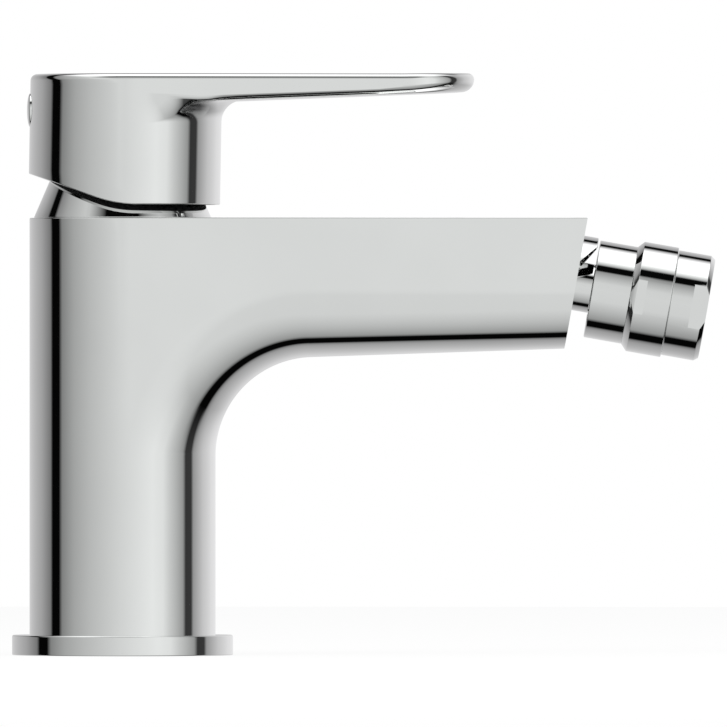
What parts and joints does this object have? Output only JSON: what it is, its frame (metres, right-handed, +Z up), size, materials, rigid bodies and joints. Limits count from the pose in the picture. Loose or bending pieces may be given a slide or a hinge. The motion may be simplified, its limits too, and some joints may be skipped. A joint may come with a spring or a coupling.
{
  "type": "bidet mixer",
  "caption": "Single-lever deck bidet mixer with a round column, a flat tapering spout and a swivelling ball-joint outlet that tilts, swings and turns.",
  "frame": {"origin": "centre of the base ring's underside, on the deck, on the column's axis", "axes": "+Z up out of the deck, +X along the spout towards the outlet, +Y to the spout's left"},
  "size_m": [0.1751, 0.055, 0.1448],
  "materials": {
    "chrome_body": "polished chrome plate on cast brass",
    "chrome_trim": "polished chrome plate on brass",
    "chrome_lever": "polished chrome plate on cast zinc",
    "chrome_nozzle": "polished chrome plate on turned brass",
    "plain_brass": "turned, bare",
    "steel": "machined, bare",
    "disc_ceramic": "ground, white",
    "white_plastic": "moulded",
    "grey_plastic": "moulded",
    "red_plastic": "moulded",
    "index_plastic": "metallised, glossy",
    "black_rubber": "smooth"
  },
  "bodies": {
    "root": {"body": "chrome_body", "base_ring": "chrome_trim", "base_gasket": "black_rubber", "inlet_seals": "black_rubber", "cartridge_base": "white_plastic", "fixed_disc": "disc_ceramic", "cartridge_housing": "grey_plastic", "temperature_limiter": "red_plastic", "clamp_nut": "plain_brass", "cone_cover": "chrome_trim", "slip_ring": "white_plastic", "stem_seal": "black_rubber", "ball_stem": "chrome_nozzle", "swivel_hood": "chrome_nozzle"},
    "carriage": {"stem_carriage": "grey_plastic", "stem_pin": "steel"},
    "disc_slide": {"moving_disc": "disc_ceramic", "disc_carrier": "white_plastic"},
    "lever": {"lever_stem": "steel", "lever_handle": "chrome_lever", "lever_screw": "steel", "index_cap": "index_plastic"},
    "ball_pitch": {"rear_ball_seat": "white_plastic"},
    "ball_yaw": {"front_ball_seat": "white_plastic", "seat_o_ring": "black_rubber"},
    "outlet": {"swivel_socket": "chrome_nozzle", "swivel_collar": "chrome_nozzle", "aerator_housing": "chrome_nozzle", "aerator_insert": "grey_plastic", "aerator_gasket": "black_rubber", "flow_regulator": "white_plastic"}
  },
  "joints": [
    {"name": "temperature_turn", "type": "hinge", "parent": "root", "child": "carriage", "pos_m": [0, 0, 0.1065], "axis": [0, 0, 1], "range_deg": [-50, 50]},
    {"name": "lever_lift", "type": "hinge", "parent": "carriage", "child": "lever", "pos_m": [0, 0, 0.114], "axis": [0, -1, 0], "range_deg": [0, 20]},
    {"name": "disc_travel", "type": "slide", "parent": "carriage", "child": "disc_slide", "axis": [1, 0, 0], "range_m": [0, 0.00487]},
    {"name": "outlet_pitch", "type": "hinge", "parent": "root", "child": "ball_pitch", "pos_m": [0.12375, 0, 0.08996], "axis": [0, 1, 0], "range_deg": [-12, 12]},
    {"name": "outlet_yaw", "type": "hinge", "parent": "ball_pitch", "child": "ball_yaw", "pos_m": [0.12375, 0, 0.08996], "axis": [0.1736, 0, 0.9848], "range_deg": [-12, 12]},
    {"name": "outlet_spin", "type": "hinge", "parent": "ball_yaw", "child": "outlet", "pos_m": [0.12375, 0, 0.08996], "axis": [0.9848, 0, -0.1736], "continuous": true}
  ],
  "couplings": [
    {"joint": "disc_travel", "follows": "lever_lift", "m_per_rad": 0.0139}
  ]
}
